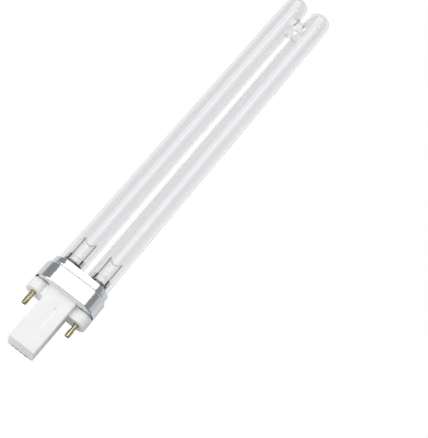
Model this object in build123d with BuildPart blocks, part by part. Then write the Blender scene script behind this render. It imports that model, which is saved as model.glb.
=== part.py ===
from build123d import *
import os

os.makedirs("parts", exist_ok=True)

# Twin-tube ultraviolet lamp with a two-pin plug-in cap, lying on its back.
# X runs across the two tubes, +Y along the lamp towards the tube tips, +Z out of the front face.
# The origin is midway between the pins, on the seating face that meets the holder.
# Sketches across the lamp lie on level(y): their own x is X, their own y is Z, and a negative
# extrusion runs towards the tube tips.

# Driving dimensions, in millimetres

# Discharge tube
tube_od = 12.0            # outside diameter of each tube
tube_wall = 1.0           # glass thickness
tube_gap = 2.2            # daylight between the two tubes
tube_low = 12.0           # open lower ends, inside the cap
tube_tip = 212.3          # rounded closed ends
tip_round = 4.6           # radius that rounds off each tip
bridge_y = 195.8          # centre of the link between the tubes
bridge_od = 10.3

# Stems and electrodes
stem_gap = 0.7            # between each tube's bore and the flare tube inside its lower end
stem_wall = 0.7
flare_height = 1.2
stem_shoulder = 19.0      # where the flare tube starts to be pinched
press_low = 21.5          # flat pressed part that the leads go through
press_top = 24.5
press_depth = 2.6
press_round = 1.17        # rounds off the pressed part's corners
exhaust_od = 2.6          # pumping stub under each stem, sealed off
exhaust_bore = 1.2
exhaust_gap = 0.3         # from the stub's sealed end down to the pins
lead_spacing = 5.8        # between the two leads of one electrode
lead_d = 0.6
lead_bend = 0.45          # bend radius of the leads, on the wire's centre line
lead_turn_out = 0.4       # where an outer lead turns, below the tube's end and above its pin
lead_turn_in = 0.6        # where an inner lead turns, below the holder plate and the floor
hook_top = 33.5           # where the leads hook over the coil's ends
hook_depth = 1.1
hook_drop = 1.3
coil_d = 0.9
coil_leg_d = 0.4
coil_leg = 1.1
coil_leg_overlap = 0.2    # length of a straight leg that is buried in the coating
coil_sag = 1.2
mercury_d = 0.9
mercury_y = 27.0
rest_gap = 0.02           # air left under what only lies on something

# Aluminium shell
shell_wall = 0.4
shell_low = 6.0
shoulder_low = 13.4
shoulder_sides = 1.4      # how far the skirt stands out past the neck at its ends
shoulder_front = 1.1      # and at its front and back
neck_side_gap = 0.7       # between the tubes and the neck, at its ends
neck_front_gap = 0.6      # and at its front and back
end_flat = 0.2            # straight stretch left in the middle of each rounded end
neck_low = 14.8
bead_low = 14.9           # rolled bead round the foot of the neck
bead_top = 15.9
bead_proud = 0.35         # how far the bead stands out from the neck
bead_round = 0.3
shell_top = 18.3

# Holder plate and basing cement inside the shell
holder_low = 11.5
holder_thickness = 2.0
holder_lip = 1.4          # ledge that the tube ends stand on
lead_slot = 2.4           # width of the slot that each outer lead crosses through
cement_top = 17.5
fit_gap = 0.05            # clearance between pieces that slide together
cut_past = 1.0            # how far a cut runs past the face that it opens

# Plastic base
pin_spacing = 23.0
barrel_d = 8.3            # round boss around each pin
barrel_top = 5.8
barrel_round = 1.2
barrel_core_d = 6.2       # narrower top of the boss, inside the shell
barrel_proud = 0.05       # how far the bosses stand out past the ends of the shell
recess_gap = 0.85         # dark ring left open around each boss under the shell
recess_top = 8.0
web_front = 2.9           # front of the wall that joins bosses and post
collar_low = 5.7          # part that the shell is staked round
collar_wall = 1.2
floor_y = 9.2             # inside floor of the base
post_width = 13.2
post_depth = 10.6
post_length = 22.6
post_corner = 0.8
post_end_round = 0.5
post_wall = 1.1
channel_left = -2.6       # shallow ramped channel on the front of the post
channel_right = 1.8
channel_depth = 0.55
channel_length = 14.5
pip_d = 1.3
pip_height = 0.25
cover_top = -1.0          # upper end of the plate that closes the back of the post
cover_tongue = 1.6
tongue_thickness = 0.7
tongue_root = 0.2         # thickness that joins the tongue to the plate

# Contact pins
pin_d = 2.35
pin_length = 6.7
pin_round = 0.45
pin_bore = 1.5
pin_tip_bore = 0.9
pin_collar_d = 3.0
pin_flange_d = 4.2
pin_flange = 0.5
pin_cup = 0.5             # length above the flange that takes the wire
pin_dent_y = -2.4
pin_dent_d = 1.6
pin_dent_depth = 0.28
pin_crimp = 2.4           # length that the crimp squeezes shut round the wire's end
pin_seam = 0.22

# Glow starter and capacitor inside the post
starter_side_gap = 0.2    # between the starter and the post's left wall
starter_od = 6.2
starter_wall = 0.6
starter_low = -19.5
starter_top = -4.5
starter_round = 2.6
starter_stem_length = 2.0
starter_lead_d = 0.5
starter_lead_spacing = 2.4
starter_fixed_low = -13.4
starter_hinged_low = -8.6
joint_y = 5.65            # where starter leads and electrode leads meet
joint_gap = 0.1
strip_thickness = 0.2
strip_width = 2.2
strip_root = -7.4
strip_bend = -11.2
strip_tip = -12.9
strip_clearance = 0.08    # between the strip's root and the lead that carries it
contact_gap = 0.4         # open gap between the strip's tip and the fixed lead
capacitor_gap = 0.75      # between the starter and the capacitor
capacitor_width = 3.4
capacitor_depth = 7.4
capacitor_low = -15.0
capacitor_top = -5.0
capacitor_round = 0.8
capacitor_end_round = 0.64
capacitor_lead_z = 2.2
capacitor_bend = 0.7
near_solder_y = 1.4
far_solder_y = 3.0
solder_d = 1.5
solder_gap = 0.12         # solder between the two wires of a joint
ferrule_d = 1.2
ferrule_length = 3.0

# Worked out from these
tube_r = tube_od / 2
bore_r = tube_r - tube_wall
tube_x = (tube_od + tube_gap) / 2
stem_r = bore_r - stem_gap
lead_r = lead_d / 2
neck_width = 2 * (tube_x + tube_r + neck_side_gap + shell_wall)
neck_depth = 2 * (tube_r + neck_front_gap + shell_wall)
# The skirt reaches past the neck all round, and as far as the two pin bosses
shell_width = max(neck_width + 2 * shoulder_sides, pin_spacing + barrel_d - 2 * barrel_proud)
shell_depth = neck_depth + 2 * shoulder_front
shell_corner = (shell_depth - end_flat) / 2
neck_corner = (neck_depth - end_flat) / 2
holder_top = holder_low + holder_thickness
pin_x = pin_spacing / 2
pin_top = floor_y + pin_flange + pin_cup
crimp_low = pin_dent_y - pin_crimp / 2
crimp_top = pin_dent_y + pin_crimp / 2
exhaust_low = pin_top + exhaust_gap
barrel_r = barrel_d / 2
post_front = post_depth / 2
cover_half = post_width / 2 - post_wall
starter_x = starter_side_gap + starter_od / 2 - cover_half
starter_bore = starter_od / 2 - starter_wall
starter_lead_r = starter_lead_d / 2
capacitor_x = starter_x + starter_od / 2 + capacitor_gap + capacitor_width / 2
hinged_x = starter_x - starter_lead_spacing / 2
fixed_x = starter_x + starter_lead_spacing / 2
along_lamp = (0, 1, 0)


def level(y):
    """The plane across the lamp at height y."""
    return Plane.XZ.offset(-y)


def save(part, name):
    """Label one finished piece and write its STEP file."""
    part.label = name
    export_step(part, f"parts/{name}.step")


def make_wire(points, wire_r, bend):
    """Round wire along a path of straight runs and bends."""
    with BuildPart() as wire:
        with BuildLine() as path:
            if len(points) == 2:
                Line(*points)
            else:
                FilletPolyline(*points, radius=bend)
        with BuildSketch(Plane(origin=path.line @ 0, z_dir=path.line % 0)):
            Circle(wire_r)
        sweep(path=path.line)
    return wire.part


# Discharge tube: two tubes closed at the tips and joined by a short bridge


def tube_form(radius, low, tip, round_radius, bridge_r):
    """Both tubes and the bridge between them as one solid form."""
    with BuildPart() as form:
        with BuildSketch(level(low)):
            with Locations((-tube_x, 0), (tube_x, 0)):
                Circle(radius)
        extrude(amount=low - tip)
        fillet(form.edges().group_by(Axis.Y)[-1], round_radius)
        with BuildSketch(Plane.YZ.offset(-tube_x)):
            with Locations((bridge_y, 0)):
                Circle(bridge_r)
        extrude(amount=2 * tube_x)
    return form.part


tube_lumen = tube_form(bore_r, tube_low - cut_past, tube_tip - tube_wall, tip_round - tube_wall,
                       bridge_od / 2 - tube_wall)

with BuildPart() as twin_tube:
    add(tube_form(tube_r, tube_low, tube_tip, tip_round, bridge_od / 2))
    add(tube_lumen, mode=Mode.SUBTRACT)
save(twin_tube.part, "twin_tube")

# Starter leads stand up from the glow starter to the joints with the inner electrode leads

with BuildPart() as starter_fixed_lead:
    add(make_wire([(fixed_x, starter_fixed_low, 0), (fixed_x, joint_y - joint_gap, 0)],
                  starter_lead_r, lead_bend))
save(starter_fixed_lead.part, "starter_fixed_lead")

with BuildPart() as starter_hinged_lead:
    add(make_wire([(hinged_x, starter_hinged_low, 0), (hinged_x, joint_y - joint_gap, 0)],
                  starter_lead_r, lead_bend))
save(starter_hinged_lead.part, "starter_hinged_lead")

# Electrodes: outer leads end in the pins, inner leads end at the starter


def hook_points(x):
    """Top of a lead, hooked forward over the end of the coil."""
    return [(x, hook_top - hook_drop, hook_depth), (x, hook_top, hook_depth), (x, hook_top, 0)]


def outer_lead(side):
    x = side * (tube_x + lead_spacing / 2)
    lower = [(x, tube_low - lead_turn_out, 0), (side * pin_x, pin_top + lead_turn_out, 0),
             (side * pin_x, crimp_top, 0)]
    return make_wire(hook_points(x) + lower, lead_r, lead_bend)


def inner_lead(side, joint_x):
    x = side * (tube_x - lead_spacing / 2)
    lower = [(x, holder_low - lead_turn_in, 0), (joint_x, floor_y - lead_turn_in, 0),
             (joint_x, joint_y, 0)]
    return make_wire(hook_points(x) + lower, lead_r, lead_bend)


def electrode_coil(side):
    """Coated coil that sags between its two straight legs."""
    half = lead_spacing / 2
    middle = side * tube_x
    coil_y = hook_top - lead_r - coil_leg_d / 2
    coil_z = hook_depth / 2
    body_half = half - coil_leg + lead_r
    with BuildPart() as coil:
        with BuildLine() as bow:
            ThreePointArc((middle - body_half, coil_y, coil_z), (middle, coil_y - coil_sag, coil_z),
                          (middle + body_half, coil_y, coil_z))
        with BuildSketch(Plane(origin=bow.line @ 0, z_dir=bow.line % 0)):
            Circle(coil_d / 2)
        sweep(path=bow.line)
        for end in (-1, 1):
            with BuildSketch(Plane.YZ.offset(middle + end * (body_half - coil_leg_overlap))):
                with Locations((coil_y, coil_z)):
                    Circle(coil_leg_d / 2)
            extrude(amount=end * (coil_leg + 2 * coil_leg_overlap))
    return coil.part


def make_stem(side, leads):
    """Flared glass tube, pinched flat round the two leads, with its sealed pumping stub."""
    x = side * tube_x
    inner_r = stem_r - stem_wall
    with BuildPart() as stem:
        with BuildSketch(Plane((x, 0, 0))):
            with BuildLine():
                Polyline((inner_r, stem_shoulder), (stem_r, stem_shoulder),
                         (stem_r, tube_low + 2 * flare_height),
                         (bore_r, tube_low + flare_height), (bore_r, tube_low),
                         (bore_r - stem_wall, tube_low),
                         (inner_r, tube_low + 2 * flare_height), close=True)
            make_face()
        revolve(axis=Axis((x, 0, 0), along_lamp))
        with BuildSketch(level(stem_shoulder)):
            with Locations((x, 0)):
                Circle(stem_r)
        with BuildSketch(level(press_low)):
            with Locations((x, 0)):
                RectangleRounded(2 * stem_r, press_depth, press_round)
        loft()
        with BuildSketch(level(press_low)):
            with Locations((x, 0)):
                RectangleRounded(2 * stem_r, press_depth, press_round)
        extrude(amount=press_low - press_top)
        with BuildSketch(level(exhaust_low)):
            with Locations((x, 0)):
                Circle(exhaust_od / 2)
        extrude(amount=exhaust_low - stem_shoulder)
        with BuildSketch(level(exhaust_low + exhaust_bore)):
            with Locations((x, 0)):
                Circle(exhaust_bore / 2)
        extrude(amount=exhaust_low + exhaust_bore - stem_shoulder, mode=Mode.SUBTRACT)
        for lead in leads:
            add(lead, mode=Mode.SUBTRACT)
    return stem.part


electrodes = {"left": (-1, hinged_x), "right": (1, fixed_x)}
outer_leads = {}
inner_leads = {}
for name, (side, joint_x) in electrodes.items():
    outer_leads[name] = outer_lead(side)
    inner_leads[name] = inner_lead(side, joint_x)
    save(outer_leads[name], f"{name}_outer_lead")
    save(inner_leads[name], f"{name}_inner_lead")
    save(electrode_coil(side), f"{name}_electrode_coil")
    save(make_stem(side, (outer_leads[name], inner_leads[name])), f"{name}_stem")

with BuildPart() as mercury_bead:
    with Locations((tube_x, mercury_y, -bore_r + mercury_d / 2 + rest_gap)):
        Sphere(mercury_d / 2)
save(mercury_bead.part, "mercury_bead")

# Shell: straight skirt, sloped shoulder, rolled bead and a straight neck up to the rim


def shell_form(inset, low, high):
    """The shell's outer shape without its bead, shrunk by inset all round."""
    skirt = (shell_width - 2 * inset, shell_depth - 2 * inset, shell_corner - inset)
    neck = (neck_width - 2 * inset, neck_depth - 2 * inset, neck_corner - inset)
    with BuildPart() as form:
        with BuildSketch(level(low)):
            RectangleRounded(*skirt)
        extrude(amount=low - shoulder_low)
        with BuildSketch(level(shoulder_low)):
            RectangleRounded(*skirt)
        with BuildSketch(level(neck_low)):
            RectangleRounded(*neck)
        loft()
        with BuildSketch(level(neck_low)):
            RectangleRounded(*neck)
        extrude(amount=neck_low - high)
    return form.part


with BuildPart() as metal_shell:
    with BuildSketch(level(bead_low)):
        RectangleRounded(neck_width + 2 * bead_proud, neck_depth + 2 * bead_proud,
                         neck_corner + bead_proud)
    extrude(amount=bead_low - bead_top)
    fillet(metal_shell.edges().group_by(Axis.Y)[-1], bead_round)
    fillet(metal_shell.edges().group_by(Axis.Y)[0], bead_round)
    add(shell_form(0, shell_low, shell_top))
    add(shell_form(shell_wall, shell_low - cut_past, shell_top + cut_past), mode=Mode.SUBTRACT)
save(metal_shell.part, "metal_shell")

# Plate that carries the tube ends, and the cement poured round them

with BuildPart() as tube_holder:
    add(shell_form(shell_wall + fit_gap, holder_low, holder_top))
    with BuildSketch(level(holder_top)):
        Rectangle(2 * shell_width, 2 * shell_depth)
    extrude(amount=holder_top - shell_top, mode=Mode.SUBTRACT)
    with BuildSketch(level(tube_low)):
        with Locations((-tube_x, 0), (tube_x, 0)):
            Circle(tube_r + fit_gap)
    extrude(amount=tube_low - shell_top, mode=Mode.SUBTRACT)
    # Open middle under each tube, with a slot for the lead that crosses over to the pin
    with BuildSketch(level(holder_low)):
        with Locations((-tube_x, 0), (tube_x, 0)):
            Circle(tube_r - holder_lip)
        with Locations((-(tube_x + pin_x) / 2, 0), ((tube_x + pin_x) / 2, 0)):
            SlotCenterToCenter(abs(pin_x - tube_x), lead_slot)
    extrude(amount=holder_low - shell_top, mode=Mode.SUBTRACT)
save(tube_holder.part, "tube_holder")

with BuildPart() as cement:
    add(shell_form(shell_wall, holder_low, cement_top))
    with BuildSketch(level(holder_top)):
        Rectangle(2 * shell_width, 2 * shell_depth)
    extrude(amount=holder_thickness + cut_past, mode=Mode.SUBTRACT)
    with BuildSketch(level(holder_top)):
        with Locations((-tube_x, 0), (tube_x, 0)):
            Circle(tube_r)
    extrude(amount=holder_top - shell_top, mode=Mode.SUBTRACT)
save(cement.part, "cement")

# Base: collar inside the shell, two pin bosses, and the hollow post between them

with BuildPart() as base_body:
    # Lower wall across the base, flush with the back of the post
    with BuildSketch(level(0)):
        with Locations((0, (barrel_r - post_front) / 2)):
            RectangleRounded(2 * (pin_x + barrel_r), barrel_r + post_front, barrel_r - fit_gap)
        with Locations((0, barrel_r)):
            Rectangle(2 * pin_x, 2 * (barrel_r - web_front), mode=Mode.SUBTRACT)
    extrude(amount=-collar_low)
    # Collar that fills the shell
    with BuildSketch(level(collar_low)):
        RectangleRounded(shell_width - 2 * (shell_wall + fit_gap),
                         shell_depth - 2 * (shell_wall + fit_gap),
                         shell_corner - shell_wall - fit_gap)
    extrude(amount=collar_low - holder_low)
    with BuildSketch(level(floor_y)):
        RectangleRounded(shell_width - 2 * (shell_wall + fit_gap + collar_wall),
                         shell_depth - 2 * (shell_wall + fit_gap + collar_wall),
                         shell_corner - shell_wall - fit_gap - collar_wall)
    extrude(amount=floor_y - holder_low, mode=Mode.SUBTRACT)
    # Open ring around each boss, and the bosses themselves
    with BuildSketch(level(collar_low)):
        with Locations((-pin_x, 0), (pin_x, 0)):
            Circle(barrel_r + recess_gap)
    extrude(amount=collar_low - recess_top, mode=Mode.SUBTRACT)
    for side in (-1, 1):
        with BuildSketch(Plane((side * pin_x, 0, 0))):
            with BuildLine():
                Line((0, 0), (barrel_r, 0))
                Line((barrel_r, 0), (barrel_r, barrel_top - barrel_round))
                RadiusArc((barrel_r, barrel_top - barrel_round),
                          (barrel_r - barrel_round, barrel_top), -barrel_round)
                Polyline((barrel_r - barrel_round, barrel_top),
                         (barrel_core_d / 2, barrel_top), (barrel_core_d / 2, recess_top),
                         (0, recess_top), (0, 0))
            make_face()
        revolve(axis=Axis((side * pin_x, 0, 0), along_lamp))
    # Post and the panel above it
    with BuildSketch(level(-post_length)):
        RectangleRounded(post_width, post_depth, post_corner)
    extrude(amount=-post_length - collar_low)
    fillet(base_body.edges().group_by(Axis.Y)[0], post_end_round)
    with BuildSketch(level(post_wall - post_length)):
        Rectangle(post_width - 2 * post_wall, post_depth - 2 * post_wall)
    extrude(amount=post_wall - post_length - floor_y, mode=Mode.SUBTRACT)
    # Opening in the back of the post for its cover
    with BuildSketch(level(-post_length)):
        with Locations((0, -post_front)):
            Rectangle(2 * cover_half, 2 * post_wall)
    extrude(amount=-post_length - cover_top, mode=Mode.SUBTRACT)
    # Ramped channel and moulding pip on the front of the post
    with BuildSketch(level(-channel_length)):
        Polygon((channel_left, post_front), (channel_right, post_front - channel_depth),
                (channel_right, post_front), align=None)
    extrude(amount=-channel_length, mode=Mode.SUBTRACT)
    with BuildSketch(Plane.XY.offset(post_front - channel_depth)):
        with Locations((channel_right - pip_d, -pip_d)):
            Circle(pip_d / 2)
    extrude(amount=channel_depth / 2 + pip_height)
    # Stepped holes for the pins
    with BuildSketch(level(0)):
        with Locations((-pin_x, 0), (pin_x, 0)):
            Circle(pin_collar_d / 2)
    extrude(amount=-floor_y, mode=Mode.SUBTRACT)
save(base_body.part, "base_body")

with BuildPart() as starter_cover:
    with BuildSketch(level(-post_length)):
        with Locations((0, (post_wall / 2) - post_front)):
            Rectangle(2 * (cover_half - fit_gap), post_wall)
    extrude(amount=-post_length - cover_top + fit_gap)
    fillet(starter_cover.edges().group_by(Axis.Y)[0].group_by(Axis.Z)[0], post_end_round)
    with BuildSketch(level(cover_top - cover_tongue)):
        with Locations((0, post_wall - post_front + tongue_thickness / 2 + fit_gap)):
            Rectangle(cover_half, tongue_thickness)
        with Locations((0, post_wall - post_front)):
            Rectangle(cover_half, tongue_root)
    extrude(amount=-cover_tongue + fit_gap)
    with BuildSketch(level(cover_top - fit_gap)):
        with Locations((0, post_wall - post_front + tongue_thickness / 2 + fit_gap)):
            Rectangle(cover_half, tongue_thickness)
    extrude(amount=-cover_tongue)
save(starter_cover.part, "starter_cover")

# Pins: rolled brass tube with a seam on one side and a crimp dent on each flank


def make_pin(side, dent_angle):
    x = side * pin_x
    with BuildPart() as pin:
        with BuildSketch(level(-pin_length)):
            with Locations((x, 0)):
                Circle(pin_d / 2)
        extrude(amount=-pin_length)
        fillet(pin.edges().group_by(Axis.Y)[0], pin_round)
        for low, high, diameter in ((0, pin_top, pin_collar_d),
                                    (floor_y, floor_y + pin_flange, pin_flange_d)):
            with BuildSketch(level(low)):
                with Locations((x, 0)):
                    Circle(diameter / 2)
            extrude(amount=low - high)
        for low, high, diameter in ((-pin_length, crimp_low, pin_tip_bore),
                                    (pin_round - pin_length, crimp_low, pin_bore),
                                    (crimp_top, pin_top, pin_bore)):
            with BuildSketch(level(low)):
                with Locations((x, 0)):
                    Circle(diameter / 2)
            extrude(amount=low - high, mode=Mode.SUBTRACT)
        barrel_axis = Axis((x, 0, 0), along_lamp)
        seam = Box(pin_d / 2, pin_length + pin_round, pin_seam, mode=Mode.PRIVATE)
        seam = seam.moved(Location((x + pin_d / 2, -pin_length / 2, 0)))
        add(seam.rotate(barrel_axis, dent_angle + 90), mode=Mode.SUBTRACT)
        for flank in (0, 180):
            dent = Sphere(pin_dent_d / 2, mode=Mode.PRIVATE)
            dent_x = x + pin_d / 2 + pin_dent_d / 2 - pin_dent_depth
            dent = dent.moved(Location((dent_x, pin_dent_y, 0)))
            add(dent.rotate(barrel_axis, dent_angle + flank), mode=Mode.SUBTRACT)
    return pin.part


save(make_pin(-1, 90), "left_pin")
save(make_pin(1, 0), "right_pin")

# Glow starter: sealed glass bottle with a fixed lead and a bimetal strip that bends to meet it


def bottle_form(radius, low, round_radius):
    """Round-ended form of the starter's glass, open at its top."""
    with BuildPart() as form:
        with BuildSketch(level(low)):
            with Locations((starter_x, 0)):
                Circle(radius)
        extrude(amount=low - starter_top)
        fillet(form.edges().group_by(Axis.Y)[0], round_radius)
    return form.part


with BuildPart() as starter_bulb:
    add(bottle_form(starter_od / 2, starter_low, starter_round))
    add(bottle_form(starter_bore, starter_low + starter_wall, starter_round - starter_wall),
        mode=Mode.SUBTRACT)
save(starter_bulb.part, "starter_bulb")

with BuildPart() as starter_stem:
    with BuildSketch(level(starter_top - starter_stem_length)):
        with Locations((starter_x, 0)):
            Circle(starter_bore)
    extrude(amount=-starter_stem_length)
    add(starter_fixed_lead.part, mode=Mode.SUBTRACT)
    add(starter_hinged_lead.part, mode=Mode.SUBTRACT)
save(starter_stem.part, "starter_stem")

strip_x = hinged_x + starter_lead_r + strip_clearance + strip_thickness / 2
strip_tip_x = fixed_x - starter_lead_r - contact_gap - strip_thickness / 2

with BuildPart() as starter_bimetal:
    with BuildSketch(Plane.XY.offset(-strip_width / 2)):
        with BuildLine():
            Polyline((strip_x, strip_root), (strip_x, strip_bend),
                     (strip_tip_x, strip_bend - (strip_tip_x - strip_x)), (strip_tip_x, strip_tip))
        trace(line_width=strip_thickness)
    extrude(amount=strip_width)
save(starter_bimetal.part, "starter_bimetal")

with BuildPart() as capacitor:
    with BuildSketch(level(capacitor_low)):
        with Locations((capacitor_x, 0)):
            RectangleRounded(capacitor_width, capacitor_depth, capacitor_round)
    extrude(amount=capacitor_low - capacitor_top)
    fillet(capacitor.edges().group_by(Axis.Y)[0], capacitor_end_round)
save(capacitor.part, "capacitor")


def capacitor_lead(z, solder_y, joint_x):
    """Lead that rises from the capacitor and crosses over to one starter lead."""
    end_z = (starter_lead_r + solder_gap) * (1 if z > 0 else -1)
    points = [(capacitor_x, capacitor_top, z), (capacitor_x, solder_y, z), (joint_x, solder_y, z),
              (joint_x, solder_y, end_z)]
    return make_wire(points, starter_lead_r, capacitor_bend)


with BuildPart() as capacitor_leads:
    add(capacitor_lead(capacitor_lead_z, near_solder_y, fixed_x))
    add(capacitor_lead(-capacitor_lead_z, far_solder_y, hinged_x))
save(capacitor_leads.part, "capacitor_leads")

with BuildPart() as solder_joints:
    with Locations((fixed_x, near_solder_y, 0), (hinged_x, far_solder_y, 0)):
        Sphere(solder_d / 2)
    for wire in (capacitor_leads.part, starter_fixed_lead.part, starter_hinged_lead.part):
        add(wire, mode=Mode.SUBTRACT)
save(solder_joints.part, "solder_joints")

# Crimped sleeves that join the electrode leads to the starter leads


def make_ferrule(x, wires):
    with BuildPart() as ferrule:
        with BuildSketch(level(joint_y - ferrule_length / 2)):
            with Locations((x, 0)):
                Circle(ferrule_d / 2)
        extrude(amount=-ferrule_length)
        for wire in wires:
            add(wire, mode=Mode.SUBTRACT)
    return ferrule.part


save(make_ferrule(hinged_x, (inner_leads["left"], starter_hinged_lead.part)), "left_ferrule")
save(make_ferrule(fixed_x, (inner_leads["right"], starter_fixed_lead.part)), "right_ferrule")
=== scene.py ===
"""Twin-tube ultraviolet lamp with a two-pin plug-in cap, lying on a pale floor.

Meshes are built in millimetres and turned to metres as each piece is finished.
X runs across the two tubes, +Y along the lamp to the tube tips, +Z out of its front face.
"""

import math

import bmesh
import bpy
from mathutils import Matrix, Vector


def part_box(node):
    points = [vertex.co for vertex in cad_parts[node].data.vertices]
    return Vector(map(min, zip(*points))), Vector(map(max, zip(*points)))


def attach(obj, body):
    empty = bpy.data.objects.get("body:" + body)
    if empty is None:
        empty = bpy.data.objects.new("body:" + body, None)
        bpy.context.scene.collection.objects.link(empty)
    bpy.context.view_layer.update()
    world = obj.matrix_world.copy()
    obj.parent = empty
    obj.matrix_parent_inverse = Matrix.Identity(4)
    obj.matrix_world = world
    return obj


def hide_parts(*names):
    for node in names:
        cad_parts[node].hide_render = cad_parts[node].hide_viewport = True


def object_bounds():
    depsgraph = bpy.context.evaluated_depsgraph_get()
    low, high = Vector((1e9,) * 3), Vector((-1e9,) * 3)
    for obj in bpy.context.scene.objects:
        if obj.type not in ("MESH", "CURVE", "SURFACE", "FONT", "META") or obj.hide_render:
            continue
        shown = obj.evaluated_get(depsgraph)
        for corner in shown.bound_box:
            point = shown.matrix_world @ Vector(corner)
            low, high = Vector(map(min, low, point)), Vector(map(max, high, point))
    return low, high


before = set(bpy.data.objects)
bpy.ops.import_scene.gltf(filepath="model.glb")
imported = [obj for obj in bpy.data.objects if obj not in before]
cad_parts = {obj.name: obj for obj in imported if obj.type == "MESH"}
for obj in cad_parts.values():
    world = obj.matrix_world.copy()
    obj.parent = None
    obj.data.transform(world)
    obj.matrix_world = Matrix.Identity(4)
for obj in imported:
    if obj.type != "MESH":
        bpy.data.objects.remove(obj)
cad_low, cad_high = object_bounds()

MM = 0.001
LAMP = "lamp"
MERGE = 0.001                 # points nearer than this are one, in millimetres
SPIN_MERGE = 0.002
MIRROR_MERGE = 0.01


def box_mm(node):
    """Lowest and highest corner of a CAD node, in millimetres."""
    low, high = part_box(node)
    return low / MM, high / MM


# Sizes read from the frame, in millimetres
tubes_low, tubes_high = box_mm("twin_tube")
TUBE_R = tubes_high.z
TUBE_X = tubes_high.x - TUBE_R
TUBE_LOW = tubes_low.y
TUBE_TIP = tubes_high.y
shell_low, shell_high = box_mm("metal_shell")
base_low, base_high = box_mm("base_body")
pin_low, pin_high = box_mm("right_pin")
PIN_X = (pin_low.x + pin_high.x) / 2
PIN_TIP = pin_low.y
lead_low, lead_high = box_mm("right_outer_lead")
LEAD_D = 0.6
LEAD_OUT = lead_low.x + LEAD_D / 2 - TUBE_X
HOOK_TOP = lead_high.y - LEAD_D / 2
HOOK_DEPTH = lead_high.z - LEAD_D / 2

# Glass tubes and the bridge between them
GLASS_WALL = 1.0
TIP_ROUND = 4.6
TIP_STEPS = 7
TUBE_STEPS = 56
TUBE_RINGS = 14
BRIDGE_Y = 195.8
BRIDGE_R = 5.15
BRIDGE_FLARE = (0.8, 0.2)     # extra radius where it leaves a tube, along the lamp and across it
BRIDGE_SHAPE = ((0.35, 0.5), (0.0, 0.0))     # flare left and way still to go, as shares
BRIDGE_SPAN = 9.0             # stretch of tube on each side of it with closer rings
BRIDGE_RINGS = 22
OPEN_END = 1.0                # the tubes' open ends lie within this of their low end
SMOOTH_ROUNDS = 3

# Stem: half width, half depth and height of each ring, down the inside wall and up the outside
STEM_RINGS = ((1.8, 1.8, 19.2), (3.6, 3.6, 18.2), (3.6, 3.6, 14.2), (4.3, 4.3, 12.3),
              (5.0, 5.0, 12.3), (5.0, 5.0, 13.2), (4.3, 4.3, 14.8), (4.3, 4.3, 18.6),
              (4.4, 3.096, 20.0), (4.3, 1.6, 21.5), (4.3, 1.3, 22.5), (4.2, 1.3, 24.0),
              (3.9, 0.9, 24.5))
# Radius and height up the sealed pumping stub, and up the seal round each lead
STUB_PROFILE = ((0, 10.5), (0.9, 10.6), (1.3, 11.1), (1.3, 18.9), (0, 18.9))
SEAL_PROFILE = ((0, 19.6), (0.336, 19.7), (0.42, 20.1), (0.42, 23.6), (0.32, 24.3), (0, 24.3))
STUB_STEPS = 20
SEAL_STEPS = 16

# Electrodes
LEAD_BEND = 0.5
BEND_STEPS = 5
LEAD_TURN_OUT = 0.4
PIN_CRIMP = -1.2
LEAD_TURN_IN = 10.9
JOINT_TOP = 8.6
JOINT_LOW = 5.65
HOOK_DROP = 1.3
COIL_SAG = 1.2
COIL_R = 0.3
COIL_WIRE_D = 0.3
COIL_TURNS = 11
COIL_TURN_STEPS = 12
COIL_LEG = 1.1
COIL_TAIL = 0.5               # how far its ends run past the hooks
COIL_LEAN = 0.2               # how far the middle of the sag leans back, as a share of its radius
MERCURY_SLUMP = (0.9, 0.94)   # power and height that flatten the drop towards its foot

# Aluminium shell
SHELL_WALL = 0.4
SKIRT = (shell_high.x * 2, shell_high.z * 2, 8.0)
NECK = (28.4, 14.0, 6.9)
SHOULDER_LOW = 13.3
SHOULDER_RUN = 0.8            # straight skirt just under the shoulder, kept free of other rings
NECK_LOW = 14.8
BEAD_LOW = 14.95
BEAD_TOP = 15.85
BEAD_PROUD = 0.35
CURVE_STEPS = 8
CUT_EDGE = (0.1, 0.12)        # inset and height of the trimmed lower edge
EDGE_RUN = 0.5
GROOVE = 0.15                 # from the top of the bead to the straight of the neck
NECK_SWELL = 0.05
RIM_ROUND = 0.38
RIM_STEPS = 4
RIM_RUN = 0.6
RIM_INSIDE = 0.02
SKIRT_INSIDE = 0.1
RING_STEPS = 64

# Plastic base
BARREL_R = base_high.x - PIN_X
BARREL_TOP = 5.8
BARREL_ROUND = 1.2
BARREL_CORE_R = 3.1
BARREL_TURN = 80
BARREL_BURIED = 0.5
BARREL_ROUND_STEPS = 6
BARREL_STEPS = 64
EDGE_ROUND = 0.3
WEB_FRONT = 2.9
WEB_STEPS = 10
COLLAR_LOW = 5.7
COLLAR_TOP = 9.2
COLLAR_GAP = 0.05
RECESS_R = BARREL_R + 0.85
RECESS_TOP = 8.0
POST_HALF_X = 6.6
POST_HALF_Z = 5.3
POST_CORNER = 0.8
POST_ROUND = 0.45
POST_WALL = 1.1
POST_END = base_low.y
JOIN = 0.2                    # how far solids run into each other where they are joined
CUT_PAST = 1.0                # how far a cut runs past the surface it opens
CAVITY_TOP = -1.0
CAVITY_LAP = 0.1
PIN_HOLE_R = 1.5
CHANNEL_LEFT = -2.6
CHANNEL_RIGHT = 1.8
CHANNEL_DEPTH = 0.75
CHANNEL_END = -14.5
CHANNEL_TOP = 1.0
CHANNEL_RAMP = 2.2
PIP_R = 0.65
PIP_STEPS = (28, 14)
COVER_TOP = -1.05
COVER_ROUND = 0.15
RIB_DEPTH = 1.8               # how far in the cover meets the post's floor
RIB_FOOT = 0.4
RIB_TOP = 0.2
RIB_INSET = 0.05
TONGUE_HALF = 2.7
TONGUE_LAP = 1.6
TONGUE_ROUND = 0.1
SEAM_GAP = 0.75
SEAM_RISE = 0.4
SEAM_DEPTH = 0.8
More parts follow.
